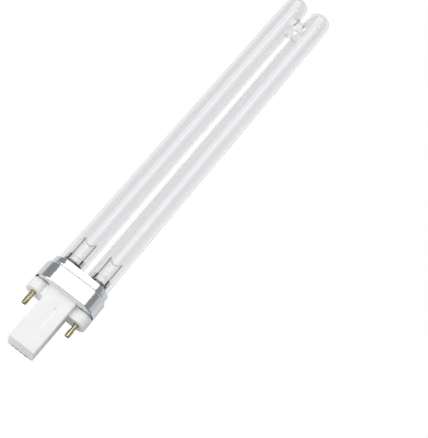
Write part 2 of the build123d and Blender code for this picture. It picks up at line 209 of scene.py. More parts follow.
SEAM_PADS = (-4.6, -2.9, -0.4, 1.6, 4.4)
SEAM_PAD_HALF = 0.45
SEAM_PAD_DEPTH = 1.0
# Inset and gap of the painted shade strips in the cover's seam
SEAM_SHADE_INSET = 0.03
SEAM_SHADE_GAP = 0.02

# Brass pins
PIN_R = 1.175
PIN_ROOT = ((9.7, 9.7, 9.2, 9.2, 0.0), (1.5, 2.1, 2.1, 1.5, 1.5))     # heights, radii
PIN_ROUND = 0.45
PIN_ROUND_STEPS = 4
PIN_STEPS = 60
PIN_RINGS = 20
PIN_RING_GAP = 0.3
PIN_BORE_R = 0.75
PIN_BORE_RINGS = 15
PIN_BORE_GAP = 0.4
PIN_TIP_BORE = ((0.05, 0.5), (0.35, 0.55), (0.8, 0.75))     # distance from the tip, radius
PIN_SEAM = 11.0
PIN_DENT_Y = -2.4
PIN_DENT_DEPTH = 0.46
PIN_DENT_R = 0.75
PIN_DENT_FALL = 1.6

# Finishes
NOISE_SPAN = (0.3, 0.7)       # where nearly all of a noise pattern's values lie
NOISE_GAIN = 0.55
GLASS_SPREAD = (0.5, 1.5)     # least and most roughness, as shares of the finish's own
METAL_SPREAD = (0.7, 1.4)
PLAIN_SPREAD = (0.85, 1.15)
METAL_STREAK = 5              # width of a tarnish streak, in grains
PLAIN_CLOUD = 20              # width of a colour cloud, in grits
GLASS_STREAK = 1.4
GLASS_DRAW = 0.04
GLASS_RIPPLE = 0.012
QUARTZ_IOR = 1.46
PLASTIC_IOR = 1.5
BLEED = 0.6                   # how far light bleeds into the plastic


# Mesh helpers


def circle_ring(bm, x, y, radius_x, radius_z, segments=32):
    """Edges of a circle or ellipse across the lamp at height y."""
    place = Matrix.Translation((x, y, 0)) @ Matrix.Rotation(math.pi / 2, 4, "X")
    made = bmesh.ops.create_circle(bm, cap_ends=False, radius=radius_x, segments=segments,
                                   matrix=place)
    verts = made["verts"]
    bmesh.ops.scale(bm, vec=(1, 1, radius_z / radius_x), verts=verts)
    return [edge for edge in bm.edges if edge.verts[0] in verts and edge.verts[1] in verts]


def rounded_ring(bm, width, depth, corner, y):
    """Edges of a rounded rectangle at height y: a circle pulled apart into its four quarters."""
    half_step = math.pi / RING_STEPS
    place = Matrix.Translation((0, y, 0)) @ Matrix.Rotation(half_step, 4, "Y")
    made = bmesh.ops.create_circle(bm, cap_ends=False, radius=corner / math.cos(half_step),
                                   segments=RING_STEPS,
                                   matrix=place @ Matrix.Rotation(math.pi / 2, 4, "X"))
    verts = made["verts"]
    for vert in verts:
        vert.co.x += math.copysign(width / 2 - corner, vert.co.x)
        vert.co.z += math.copysign(depth / 2 - corner, vert.co.z)
    return list({edge for vert in verts for edge in vert.link_edges})


def bridge_rings(bm, rings, closed=False):
    """Walls between each ring and the next one."""
    for first, second in zip(rings, rings[1:]):
        bmesh.ops.bridge_loops(bm, edges=first + second)
    if closed:
        bmesh.ops.bridge_loops(bm, edges=rings[-1] + rings[0])


def close_ring(bm, ring):
    """One face across an open ring."""
    bmesh.ops.contextual_create(bm, geom=ring)


def spun(bm, points, x, angle=2 * math.pi, steps=48, start=0.0, closed=False):
    """A profile of (radius, height) points turned about the line along the lamp at x."""
    verts = [bm.verts.new((x + radius, y, 0)) for radius, y in points]
    edges = [bm.edges.new(pair) for pair in zip(verts, verts[1:])]
    geom = verts + edges
    if closed:
        geom.append(bm.faces.new(verts))
    turn = Matrix.Rotation(start, 3, "Y")
    bmesh.ops.rotate(bm, cent=(x, 0, 0), matrix=turn, verts=verts)
    full = angle > 2 * math.pi - MERGE
    bmesh.ops.spin(bm, geom=geom, cent=(x, 0, 0), axis=(0, 1, 0), angle=angle, steps=steps,
                   use_merge=full, use_duplicate=False)
    bmesh.ops.remove_doubles(bm, verts=bm.verts, dist=SPIN_MERGE)


def arc(centre, radius, start, end, steps):
    """Points on an arc, with angles in degrees."""
    angles = [math.radians(start + (end - start) * i / steps) for i in range(steps + 1)]
    return [(centre[0] + radius * math.cos(a), centre[1] + radius * math.sin(a)) for a in angles]


def prism(outline, low, high):
    """A solid with an (x, z) outline, between two heights along the lamp."""
    bm = bmesh.new()
    face = bm.faces.new([bm.verts.new((x, low, z)) for x, z in outline])
    made = bmesh.ops.extrude_face_region(bm, geom=[face])
    lifted = [v for v in made["geom"] if isinstance(v, bmesh.types.BMVert)]
    bmesh.ops.translate(bm, vec=(0, high - low, 0), verts=lifted)
    bmesh.ops.recalc_face_normals(bm, faces=bm.faces)
    return bm


def block(low, high):
    """A rectangular solid between two corners."""
    outline = [(low[0], low[2]), (high[0], low[2]), (high[0], high[2]), (low[0], high[2])]
    return prism(outline, low[1], high[1])


def rounded_block(width, depth, corner, low, high):
    bm = bmesh.new()
    rings = [rounded_ring(bm, width, depth, corner, y) for y in (low, high)]
    bridge_rings(bm, rings)
    for ring in rings:
        close_ring(bm, ring)
    bmesh.ops.recalc_face_normals(bm, faces=bm.faces)
    return bm


def combined(first, second, operation):
    """The union or difference of two solids, which are used up."""
    objects = []
    for bm in (first, second):
        bmesh.ops.recalc_face_normals(bm, faces=bm.faces)
        mesh = bpy.data.meshes.new("solid")
        bm.to_mesh(mesh)
        bm.free()
        objects.append(bpy.data.objects.new("solid", mesh))
        bpy.context.scene.collection.objects.link(objects[-1])
    target, tool = objects
    modifier = target.modifiers.new("combine", "BOOLEAN")
    modifier.operation = operation
    modifier.solver = "EXACT"
    modifier.object = tool
    graph = bpy.context.evaluated_depsgraph_get()
    result = bmesh.new()
    result.from_mesh(target.evaluated_get(graph).to_mesh())
    for thing in objects:
        mesh = thing.data
        bpy.data.objects.remove(thing)
        bpy.data.meshes.remove(mesh)
    return result


def add_piece(name, bm, material, nodes=(), sharp=40.0):
    """Turns a bmesh in millimetres into a finished piece that rides on the lamp's body."""
    bmesh.ops.remove_doubles(bm, verts=bm.verts, dist=MERGE)
    bmesh.ops.recalc_face_normals(bm, faces=bm.faces)
    bmesh.ops.scale(bm, vec=(MM, MM, MM), verts=bm.verts)
    mesh = bpy.data.meshes.new(name)
    bm.to_mesh(mesh)
    bm.free()
    mesh.polygons.foreach_set("use_smooth", [True] * len(mesh.polygons))
    mesh.set_sharp_from_angle(angle=math.radians(sharp))
    mesh.materials.append(material)
    piece = bpy.data.objects.new(name, mesh)
    bpy.context.scene.collection.objects.link(piece)
    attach(piece, LAMP)
    if nodes:
        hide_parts(*nodes)
    return piece


def add_modifier(piece, kind, **settings):
    modifier = piece.modifiers.new(kind.lower(), kind)
    for key, value in settings.items():
        setattr(modifier, key, value)


def bent_path(points, bend, steps=BEND_STEPS):
    """A route of straight runs whose corners are rounded."""
    route = [Vector(points[0])]
    for before, corner, after in zip(points, points[1:], points[2:]):
        before, corner, after = Vector(before), Vector(corner), Vector(after)
        start = corner + (before - corner).normalized() * bend
        end = corner + (after - corner).normalized() * bend
        for i in range(steps + 1):
            share = i / steps
            route.append(start.lerp(corner, share).lerp(corner.lerp(end, share), share))
    route.append(Vector(points[-1]))
    return route


def round_wire(bm, route, diameter, sides=4):
    """Adds a round wire along a route to a bmesh in millimetres."""
    curve = bpy.data.curves.new("wire", "CURVE")
    curve.dimensions = "3D"
    curve.bevel_depth = diameter / 2
    curve.bevel_resolution = sides
    curve.use_fill_caps = True
    spline = curve.splines.new("POLY")
    spline.points.add(len(route) - 1)
    for point, place in zip(spline.points, route):
        point.co = (*place, 1.0)
    holder = bpy.data.objects.new("wire", curve)
    mesh = bpy.data.meshes.new_from_object(holder)
    bm.from_mesh(mesh)
    bpy.data.objects.remove(holder)
    bpy.data.curves.remove(curve)
    bpy.data.meshes.remove(mesh)


# Materials


def colour(hex_code):
    """Linear colour of an sRGB hex code."""
    parts = [int(hex_code[i:i + 2], 16) / 255 for i in (1, 3, 5)]
    return [*(c / 12.92 if c <= 0.04045 else ((c + 0.055) / 1.055) ** 2.4 for c in parts), 1.0]


def add_node(tree, kind, settings=None, links=None):
    """Adds a node, sets its properties and sockets, and links (node, output) sources to it."""
    node = tree.nodes.new(kind)
    for key, value in (settings or {}).items():
        if isinstance(key, str) and key not in node.inputs:
            setattr(node, key, value)
        else:
            node.inputs[key].default_value = value
    for socket, (source, output) in (links or {}).items():
        tree.links.new(source.outputs[output], node.inputs[socket])
    return node


def new_material(name):
    """An empty material with its output and its Object coordinates."""
    material = bpy.data.materials.new(name)
    material.use_nodes = True
    tree = material.node_tree
    tree.nodes.clear()
    output = add_node(tree, "ShaderNodeOutputMaterial")
    coords = add_node(tree, "ShaderNodeTexCoord")
    return material, tree, output, coords


def per_mm(size):
    """Noise scale for features about this many millimetres across."""
    return 1.0 / (size * MM)


def worn_surface(tree, coords, along, size, detail, dullness, height):
    """Links for a roughness and a bump that follow one grain, drawn out along the lamp.

    The grain's size and the bump's height are in millimetres, and dullness holds the least and
    the most roughness.
    """
    drawn = add_node(tree, "ShaderNodeMapping", {"Scale": (1.0, along, 1.0)},
                     {"Vector": (coords, "Object")})
    grain = add_node(tree, "ShaderNodeTexNoise",
                     {"Scale": per_mm(size), "Detail": detail, "Roughness": NOISE_GAIN},
                     {"Vector": (drawn, "Vector")})
    dull = add_node(tree, "ShaderNodeMapRange",
                    {"From Min": NOISE_SPAN[0], "From Max": NOISE_SPAN[1],
                     "To Min": dullness[0], "To Max": dullness[1]}, {"Value": (grain, "Fac")})
    relief = add_node(tree, "ShaderNodeBump", {"Strength": 1.0, "Distance": height * MM},
                      {"Height": (grain, "Fac")})
    return drawn, {"Roughness": (dull, "Result"), "Normal": (relief, "Normal")}


def two_tones(tree, vector, size, detail, first, second):
    """Links for a colour that drifts between two tones over about this many millimetres."""
    clouds = add_node(tree, "ShaderNodeTexNoise",
                      {"Scale": per_mm(size), "Detail": detail, "Roughness": NOISE_GAIN},
                      {"Vector": vector})
    blend = add_node(tree, "ShaderNodeMix",
                     {"data_type": "RGBA", 6: colour(first), 7: colour(second)},
                     {0: (clouds, "Fac")})
    return {"Base Color": (blend, 2)}


def glass(name, base, haze, shadow):
    """Drawn quartz glass: clear, with faint streaks along the draw and a grey cast in its walls.

    Light passes through it as through a pane, so what stands in it isn't left in the dark.
    """
    material, tree, output, coords = new_material(name)
    _, finish = worn_surface(tree, coords, GLASS_DRAW, GLASS_STREAK, 2.0,
                             [haze * share for share in GLASS_SPREAD], GLASS_RIPPLE)
    surface = add_node(tree, "ShaderNodeBsdfPrincipled",
                       {"Base Color": colour(base), "Transmission Weight": 1.0,
                        "IOR": QUARTZ_IOR}, finish)
    passing = add_node(tree, "ShaderNodeBsdfTransparent", {"Color": colour(shadow)})
    path = add_node(tree, "ShaderNodeLightPath")
    mix = add_node(tree, "ShaderNodeMixShader", None,
                   {0: (path, "Is Shadow Ray"), 1: (surface, 0), 2: (passing, 0)})
    tree.links.new(mix.outputs[0], output.inputs["Surface"])
    return material


def metal(name, dark, light, roughness, grain, along, scratch, edge="#FFFFFF"):
    """Drawn metal: grain and tarnish run along the draw, and the edge colour tints its gloss."""
    material, tree, output, coords = new_material(name)
    drawn, finish = worn_surface(tree, coords, along, grain, 4.0,
                                 [roughness * share for share in METAL_SPREAD], scratch)
    tones = two_tones(tree, (drawn, "Vector"), grain * METAL_STREAK, 2.0, dark, light)
    surface = add_node(tree, "ShaderNodeBsdfPrincipled",
                       {"Metallic": 1.0, "Specular Tint": colour(edge)}, finish | tones)
    tree.links.new(surface.outputs[0], output.inputs["Surface"])
    return material


def plain(name, dark, light, roughness, grit, height, subsurface=0.0):
    """Moulded, cast or coated surface: a fine grit in the bump and faint clouds in the colour."""
    material, tree, output, coords = new_material(name)
    _, finish = worn_surface(tree, coords, 1.0, grit, 3.0,
                             [roughness * share for share in PLAIN_SPREAD], height)
    tones = two_tones(tree, (coords, "Object"), grit * PLAIN_CLOUD, 2.0, dark, light)
    surface = add_node(tree, "ShaderNodeBsdfPrincipled",
                       {"IOR": PLASTIC_IOR, "Subsurface Weight": subsurface,
                        "Subsurface Scale": BLEED * MM}, finish | tones)
    tree.links.new(surface.outputs[0], output.inputs["Surface"])
    return material


# Clear tube wall: nearly invisible face on, grey where it is seen edge on, one soft highlight
quartz = glass("drawn_quartz_glass", "#F1F1F2", 0.015, "#F9F9F8")
# Thicker, slightly cloudier glass that makes the stems stand out inside the tubes
pressed_glass = glass("pressed_stem_glass", "#F3F4F3", 0.03, "#F5F6F5")
# Bright cap: mirrors the white surroundings on its flats and turns blue-grey round its ends
aluminium = metal("bright_drawn_aluminium", "#DDE1E6", "#F0F2F4", 0.16, 0.25, 0.12, 0.004)
# Dull silvery lead wires that read as thin dark lines through the glass
nickel = metal("nickel_plated_wire", "#A9A6A0", "#C9C6C0", 0.22, 0.1, 0.2, 0.004)
# Dark brownish seals where the leads cross the press
dumet = metal("copper_clad_seal_wire", "#4A3A36", "#6A5650", 0.35, 0.1, 0.2, 0.004)
# Pale yellow pins with dark tarnish in streaks between hard bright ones
brass = metal("rolled_brass", "#62562F", "#F8EEC2", 0.1, 0.12, 0.15, 0.004, "#4A4228")
# One liquid drop, a tiny clean mirror
mercury = metal("liquid_mercury", "#C9CBCE", "#E2E4E6", 0.04, 0.6, 1.0, 0.0005)
# Soft grey solder and tinned ferrules, hidden in the cap
tin = metal("tinned_wire", "#A8ABB0", "#C4C7CC", 0.3, 0.15, 0.5, 0.005)
# Warm grey rolled strip of the starter
strip_metal = metal("rolled_bimetal", "#8F8A80", "#B0A894", 0.3, 0.12, 0.2, 0.004)
# Neutral white moulding with a soft sheen and a trace of light bleeding through
white_plastic = plain("moulded_white_polyester", "#F0F0F0", "#F6F6F5", 0.36, 0.22, 0.006, 0.08)
# Painted shade: dark grey strips in the cover's seam that draw it as a broken dark line
painted_seam_shade = plain("painted_seam_shade", "#36383B", "#4A4C50", 0.9, 0.1, 0.02)
# Dry chalky ring seen between the rim and the glass
cement_grey = plain("basing_cement", "#A5A39D", "#BEBCB6", 0.85, 0.3, 0.08)
# Dull off-white plate under the tubes
ceramic = plain("unglazed_holder_ceramic", "#DCDAD2", "#EAE8E2", 0.7, 0.25, 0.02)
# White paste that thickens the coils
oxide = plain("oxide_coated_tungsten", "#D6D3CB", "#EFEDE7", 0.8, 0.08, 0.02)
# Glossy brown dip coat on the capacitor
lacquer = plain("dipped_capacitor_lacquer", "#8A4A1C", "#A05A26", 0.25, 0.5, 0.01)


# Glass tubes, stems and electrodes


def bridge_half(bm):
    """Opens the left tube's inner wall and draws its half of the bridge out of it."""
    reach_y, reach_z = (BRIDGE_R + flare for flare in BRIDGE_FLARE)
    patch = []
    for face in bm.faces:
        middle = face.calc_center_median()
        share = ((middle.y - BRIDGE_Y) / reach_y) ** 2 + (middle.z / reach_z) ** 2
        if middle.x > -TUBE_X and share < 1:
            patch.append(face)
    bmesh.ops.delete(bm, geom=patch, context="FACES")
    rim = [edge for edge in bm.edges
           if edge.is_boundary and min(v.co.y for v in edge.verts) > TUBE_LOW + OPEN_END]
    rim_verts = {vert for edge in rim for vert in edge.verts}
    for vert in rim_verts:
        turn = math.atan2(vert.co.z / reach_z, (vert.co.y - BRIDGE_Y) / reach_y)
        vert.co.y = BRIDGE_Y + reach_y * math.cos(turn)
        vert.co.z = reach_z * math.sin(turn)
    around = {other for vert in rim_verts for edge in vert.link_edges for other in edge.verts}
    around -= rim_verts
    for _ in range(SMOOTH_ROUNDS):
        bmesh.ops.smooth_vert(bm, verts=list(around), factor=0.5, use_axis_x=False,
                              use_axis_y=True, use_axis_z=True)
    for vert in around | rim_verts:
        vert.co.x = -TUBE_X + math.sqrt(max(TUBE_R ** 2 - vert.co.z ** 2, 0.0))
    for reach, part in BRIDGE_SHAPE:
        made = bmesh.ops.extrude_edge_only(bm, edges=rim)
        rim = [e for e in made["geom"] if isinstance(e, bmesh.types.BMEdge)]
        for vert in [v for v in made["geom"] if isinstance(v, bmesh.types.BMVert)]:
            flat = Vector((vert.co.y - BRIDGE_Y, vert.co.z))
            outer = flat.length
            flat *= (BRIDGE_R + reach * (outer - BRIDGE_R)) / outer
            vert.co = Vector((vert.co.x * part, BRIDGE_Y + flat.x, flat.y))


def make_twin_tube():
    bm = bmesh.new()
    plain_run = BRIDGE_Y - BRIDGE_SPAN - TUBE_LOW
    heights = [TUBE_LOW + plain_run * i / TUBE_RINGS for i in range(TUBE_RINGS)]
    heights += [BRIDGE_Y + BRIDGE_SPAN * (2 * i / BRIDGE_RINGS - 1)
                for i in range(BRIDGE_RINGS + 1)]
    profile = [(TUBE_R, y) for y in heights]
    profile += arc((TUBE_R - TIP_ROUND, TUBE_TIP - TIP_ROUND), TIP_ROUND, 0, 90, TIP_STEPS)
    profile += [(0, TUBE_TIP)]
    spun(bm, profile, -TUBE_X, steps=TUBE_STEPS, start=math.pi)
    bridge_half(bm)
    bmesh.ops.mirror(bm, geom=bm.verts[:] + bm.edges[:] + bm.faces[:], matrix=Matrix(),
                     merge_dist=MIRROR_MERGE, axis="X")
    piece = add_piece("twin_tube_glass", bm, quartz, ["twin_tube"], sharp=180)
    add_modifier(piece, "SUBSURF", levels=1, render_levels=1)
    add_modifier(piece, "SOLIDIFY", thickness=GLASS_WALL * MM, offset=-1.0)


def make_stem(name, side):
    """Flared tube inside the lower end, pinched flat round the leads."""
    x = side * TUBE_X
    bm = bmesh.new()
    rings = [circle_ring(bm, x, y, half_x, half_z) for half_x, half_z, y in STEM_RINGS]
    bridge_rings(bm, rings)
    close_ring(bm, rings[0])
    close_ring(bm, rings[-1])
    spun(bm, STUB_PROFILE, x, steps=STUB_STEPS)
    piece = add_piece(f"{name}_stem_glass", bm, pressed_glass, [f"{name}_stem"],
                      sharp=180)
    add_modifier(piece, "SUBSURF", levels=2, render_levels=2)


def hook(x):
    return [(x, HOOK_TOP - HOOK_DROP, HOOK_DEPTH), (x, HOOK_TOP, HOOK_DEPTH), (x, HOOK_TOP, 0)]


def make_leads(name, side, joint_x):
    """Two nickel leads with hooks at the coil, and the seals where they cross the press."""
    outer_x = side * (TUBE_X + LEAD_OUT)
    inner_x = side * (TUBE_X - LEAD_OUT)
    routes = {"outer": hook(outer_x) + [(outer_x, TUBE_LOW - LEAD_TURN_OUT, 0),
                                        (side * PIN_X, pin_high.y + LEAD_TURN_OUT, 0),
                                        (side * PIN_X, PIN_CRIMP, 0)],
              "inner": hook(inner_x) + [(inner_x, LEAD_TURN_IN, 0),
                                        (joint_x, JOINT_TOP, 0), (joint_x, JOINT_LOW, 0)]}
    for which, points in routes.items():
        bm = bmesh.new()
        round_wire(bm, bent_path(points, LEAD_BEND), LEAD_D)
        add_piece(f"{name}_{which}_lead_wire", bm, nickel,
                  [f"{name}_{which}_lead"])
    bm = bmesh.new()
    for x in (outer_x, inner_x):
        spun(bm, SEAL_PROFILE, x, steps=SEAL_STEPS)
    add_piece(f"{name}_lead_seals", bm, dumet)


def make_coil(name, side):
    """Filament wound in a fine helix that sags between its legs, with its white oxide paste."""
    half = LEAD_OUT - COIL_LEG + LEAD_D / 2
    top = HOOK_TOP - LEAD_D / 2 - COIL_WIRE_D
    depth = HOOK_DEPTH / 2
    route = [Vector((side * TUBE_X - LEAD_OUT - COIL_TAIL, top, depth))]
    steps = COIL_TURNS * COIL_TURN_STEPS
    for i in range(steps + 1):
        share = 2 * i / steps - 1
        turn = 2 * math.pi * COIL_TURNS * i / steps
        sag = COIL_SAG * (1 - share ** 2)
        lean = COIL_LEAN * (1 - abs(share))
        route.append(Vector((side * TUBE_X + half * share,
                             top - sag + COIL_R * math.sin(turn),
                             depth + COIL_R * (math.cos(turn) - lean))))
    route.append(Vector((side * TUBE_X + LEAD_OUT + COIL_TAIL, top, depth)))
    bm = bmesh.new()
    round_wire(bm, route, COIL_WIRE_D, sides=2)
    add_piece(f"{name}_filament", bm, oxide, [f"{name}_electrode_coil"])


def make_mercury():
    """Small liquid drop, slightly flattened where it rests on the glass."""
    low, high = box_mm("mercury_bead")
    power, height = MERCURY_SLUMP
    bm = bmesh.new()
    bmesh.ops.create_icosphere(bm, subdivisions=4, radius=(high.x - low.x) / 2,
                               matrix=Matrix.Translation((low + high) / 2))
    for vert in bm.verts:
        share = (vert.co.z - low.z) / (high.z - low.z)
        vert.co.z = low.z + (high.z - low.z) * share ** power * height
    add_piece("mercury_drop", bm, mercury, ["mercury_bead"], sharp=180)


# Shell


def shell_ring(bm, share, offset, y):
    """Ring between the skirt's outline (share 0) and the neck's (share 1), pushed out by offset."""
    width, depth, corner = (a + (b - a) * share for a, b in zip(SKIRT, NECK))
    return rounded_ring(bm, width + 2 * offset, depth + 2 * offset, corner + offset, y)


def make_shell():
    """Drawn aluminium cup: cut edge, straight skirt, round shoulder, rolled bead, straight rim."""
    low, high = shell_low.y, shell_high.y
    inset, height = CUT_EDGE
    skirt = [(0, -inset, low), (0, 0, low + height), (0, 0, low + EDGE_RUN),
             (0, 0, SHOULDER_LOW - SHOULDER_RUN)]
    shoulder = []
    for i in range(CURVE_STEPS + 1):
        turn = math.pi / 2 * i / CURVE_STEPS
        shoulder.append((1 - math.cos(turn), 0,
                         SHOULDER_LOW + (NECK_LOW - SHOULDER_LOW) * math.sin(turn)))
    middle, half = (BEAD_LOW + BEAD_TOP) / 2, (BEAD_TOP - BEAD_LOW) / 2
    bead = []
    for i in range(CURVE_STEPS + 1):
        turn = math.pi * i / CURVE_STEPS - math.pi / 2
        bead.append((1, BEAD_PROUD * math.cos(turn), middle + half * math.sin(turn)))
    neck = [(1, 0, BEAD_TOP + GROOVE), (1, NECK_SWELL, BEAD_TOP + EDGE_RUN),
            (1, NECK_SWELL, high - RIM_RUN)]
    rim = [(1, offset - RIM_ROUND, y)
           for offset, y in arc((0, high - RIM_ROUND), RIM_ROUND, 0, 90, RIM_STEPS)]
    inside = [(1, -SHELL_WALL, high - RIM_INSIDE), (1, -SHELL_WALL, NECK_LOW)]
    inside += [(share, -SHELL_WALL, y) for share, _, y in reversed(shoulder[:-1])]
    inside += [(0, -SHELL_WALL, low + SKIRT_INSIDE)]
    bm = bmesh.new()
    rings = [shell_ring(bm, *place) for place in skirt + shoulder + bead + neck + rim + inside]
    bridge_rings(bm, rings, closed=True)
    add_piece("drawn_shell", bm, aluminium, ["metal_shell"], sharp=60)


# Base and pins


def make_barrel(side):
    """Round pin boss with a softened lower edge and a rounded top, on its narrower core."""
    bm = bmesh.new()
    profile = [(0, 0)]
    profile += arc((BARREL_R - EDGE_ROUND, EDGE_ROUND), EDGE_ROUND, -90, 0, 3)
    profile += arc((BARREL_R - BARREL_ROUND, BARREL_TOP - BARREL_ROUND), BARREL_ROUND,
                   0, BARREL_TURN, BARREL_ROUND_STEPS)
    profile += [(BARREL_CORE_R, BARREL_TOP), (BARREL_CORE_R, COLLAR_TOP - BARREL_BURIED),
                (0, COLLAR_TOP - BARREL_BURIED)]
    spun(bm, profile, side * PIN_X, steps=BARREL_STEPS)
    return bm


def cylinder(x, radius, low, high, steps=48):
    bm = bmesh.new()
    spun(bm, [(0, low), (radius, low), (radius, high), (0, high)], x, steps=steps)
    return bm


def softened(bm, width, angle=30.0, segments=3):
    """Rounds the sharp edges of a solid."""
    sharp = [edge for edge in bm.edges
             if len(edge.link_faces) == 2 and edge.calc_face_angle(0) > math.radians(angle)]
    bmesh.ops.bevel(bm, geom=sharp, offset=width, offset_type="OFFSET", segments=segments,
                    profile=0.5, affect="EDGES", clamp_overlap=True, material=-1)
    return bm


def make_post():
    """Rounded post with a shallow channel that deepens to its right and runs out at both ends."""
    post = softened(rounded_block(2 * POST_HALF_X, 2 * POST_HALF_Z, POST_CORNER, POST_END,
                                  COLLAR_LOW + JOIN), POST_ROUND)
    outline = []
    for i in range(CURVE_STEPS + 1):
        share = i / CURVE_STEPS
        outline.append((CHANNEL_LEFT + (CHANNEL_RIGHT - CHANNEL_LEFT) * share,
                        POST_HALF_Z - CHANNEL_DEPTH * share ** 2))
    outline += [(CHANNEL_RIGHT, POST_HALF_Z), (CHANNEL_RIGHT, POST_HALF_Z + CUT_PAST),
                (CHANNEL_LEFT, POST_HALF_Z + CUT_PAST)]
    channel = prism(outline, CHANNEL_END, CHANNEL_TOP)
    for vert in channel.verts:
        depth = max(POST_HALF_Z - vert.co.z, 0) / CHANNEL_DEPTH
        vert.co.y += CHANNEL_RAMP * depth * (1 if vert.co.y < CHANNEL_END / 2 else -1)
    return combined(post, channel, "DIFFERENCE")


def make_base():
    """Moulded base: pin bosses, wall between them, panel and post, and the collar in the shell."""
    rear = [(-BARREL_R - PIN_X, 0)]
    rear += arc((-PIN_X, -POST_HALF_Z + BARREL_R), BARREL_R, 180, 270, WEB_STEPS)
    rear += arc((PIN_X, -POST_HALF_Z + BARREL_R), BARREL_R, 270, 360, WEB_STEPS)
    rear += [(PIN_X + BARREL_R, 0), (PIN_X, WEB_FRONT), (-PIN_X, WEB_FRONT)]
    body = softened(prism(rear, 0, COLLAR_LOW + JOIN), EDGE_ROUND)
    for side in (-1, 1):
        body = combined(body, make_barrel(side), "UNION")
    body = combined(body, make_post(), "UNION")
    pip = bmesh.new()
    around, up = PIP_STEPS
    place = (CHANNEL_RIGHT - 2 * PIP_R, -2 * PIP_R, POST_HALF_Z - PIP_R)
    bmesh.ops.create_uvsphere(pip, u_segments=around, v_segments=up, radius=PIP_R,
                              matrix=Matrix.Translation(place))
    body = combined(body, pip, "UNION")
    inset = SHELL_WALL + COLLAR_GAP
    collar = rounded_block(SKIRT[0] - 2 * inset, SKIRT[1] - 2 * inset, SKIRT[2] - inset,
                           COLLAR_LOW, COLLAR_TOP)
    for side in (-1, 1):
        recess = cylinder(side * PIN_X, RECESS_R, COLLAR_LOW - CUT_PAST, RECESS_TOP)
        collar = combined(collar, recess, "DIFFERENCE")
    body = combined(body, collar, "UNION")
    half_x, floor_z = POST_HALF_X - POST_WALL, POST_WALL - POST_HALF_Z
    cavity = block((-half_x, POST_END + POST_WALL, -POST_HALF_Z - CUT_PAST),
                   (half_x, CAVITY_TOP, -floor_z))
    slot = block((-half_x, POST_END - CUT_PAST, -POST_HALF_Z - CUT_PAST),
                 (half_x, POST_END + POST_WALL + CAVITY_LAP, floor_z + SEAM_RISE))
    throat = block((-half_x, CAVITY_TOP - CAVITY_LAP, floor_z),
                   (half_x, COLLAR_TOP + CUT_PAST, -floor_z))
    for hollow in (cavity, slot, throat):
        body = combined(body, hollow, "DIFFERENCE")
    for side in (-1, 1):
        hole = cylinder(side * PIN_X, PIN_HOLE_R, -CUT_PAST, COLLAR_TOP + CUT_PAST)
        body = combined(body, hole, "DIFFERENCE")
    add_piece("moulded_base", body, white_plastic, ["base_body"], sharp=35)


def make_cover():
    """Plate that closes the back of the post, with a softened edge all round."""
    low, high = box_mm("starter_cover")
    top = low.z + POST_WALL
    plate = softened(block(low, (high.x, COVER_TOP, top - SEAM_GAP)), COVER_ROUND)
    for x in SEAM_PADS:
        pad = block((x - SEAM_PAD_HALF, low.y + RIB_INSET, low.z + RIB_FOOT),
                    (x + SEAM_PAD_HALF, low.y + SEAM_PAD_DEPTH, top + SEAM_RISE))
        plate = combined(plate, pad, "UNION")
    rib = block((low.x + RIB_INSET, low.y + RIB_DEPTH, low.z + RIB_FOOT),
                (high.x - RIB_INSET, COVER_TOP - RIB_TOP, top))
    tongue = softened(block((-TONGUE_HALF, COVER_TOP - TONGUE_LAP, top - JOIN),
                            (TONGUE_HALF, high.y, high.z)), TONGUE_ROUND)
    bm = combined(combined(plate, rib, "UNION"), tongue, "UNION")
    add_piece("post_cover", bm, white_plastic, ["starter_cover"], sharp=35)


def make_painted_seam_shade():
    """Dark strips of painted shade that lie in the cover's seam, between its pads."""
    low, _ = box_mm("starter_cover")
    top = low.z + POST_WALL
    shade_strips = bmesh.new()
    for left, right in zip(SEAM_PADS, SEAM_PADS[1:]):
        strip = block((left + SEAM_PAD_HALF, low.y + SEAM_SHADE_INSET, top - SEAM_GAP - SEAM_SHADE_GAP),
                      (right - SEAM_PAD_HALF, low.y + SEAM_DEPTH, top + SEAM_RISE - SEAM_SHADE_GAP))
        mesh = bpy.data.meshes.new("painted_shade_strip")
        strip.to_mesh(mesh)
        strip.free()
        shade_strips.from_mesh(mesh)
        bpy.data.meshes.remove(mesh)
    add_piece("seam_painted_shade", shade_strips, painted_seam_shade)


def make_pin(name, side, dent_turn):
    """Rolled brass pin: open seam, rounded hollow tip, and a crimp dent on each flank."""
    x = side * PIN_X
    heights, radii = PIN_ROOT
    outside = [(radii[0], pin_high.y), *zip(radii, heights), (PIN_R, heights[-1])]
    outside += [(PIN_R, -PIN_RING_GAP * i) for i in range(1, PIN_RINGS + 1)]
    outside += arc((PIN_R - PIN_ROUND, PIN_TIP + PIN_ROUND), PIN_ROUND, 0, -90, PIN_ROUND_STEPS)
    inside = [(radius, PIN_TIP + away) for away, radius in PIN_TIP_BORE]
    bore_low = inside[-1][1]
    inside += [(PIN_BORE_R, bore_low + PIN_BORE_GAP * i) for i in range(1, PIN_BORE_RINGS)]
    inside += [(PIN_BORE_R, pin_high.y)]
    bm = bmesh.new()
    seam = math.radians(PIN_SEAM)
    spun(bm, outside + inside, x, angle=2 * math.pi - seam, steps=PIN_STEPS,
         start=dent_turn + math.pi / 2 + seam / 2, closed=True)
    for vert in bm.verts:
        if vert.co.y > 0:
            continue
        out = Vector((vert.co.x - x, 0, vert.co.z))
        for flank in (dent_turn, dent_turn + math.pi):
            centre = Vector((math.cos(flank), 0, -math.sin(flank))) * PIN_R
            away = Vector((vert.co.x - x, vert.co.y - PIN_DENT_Y, vert.co.z)) - centre
            push = PIN_DENT_DEPTH * math.exp(-(away.length / PIN_DENT_R) ** 2 * PIN_DENT_FALL)
            vert.co -= out.normalized() * push
    add_piece(f"{name}_brass_pin", bm, brass, [f"{name}_pin"], sharp=40)


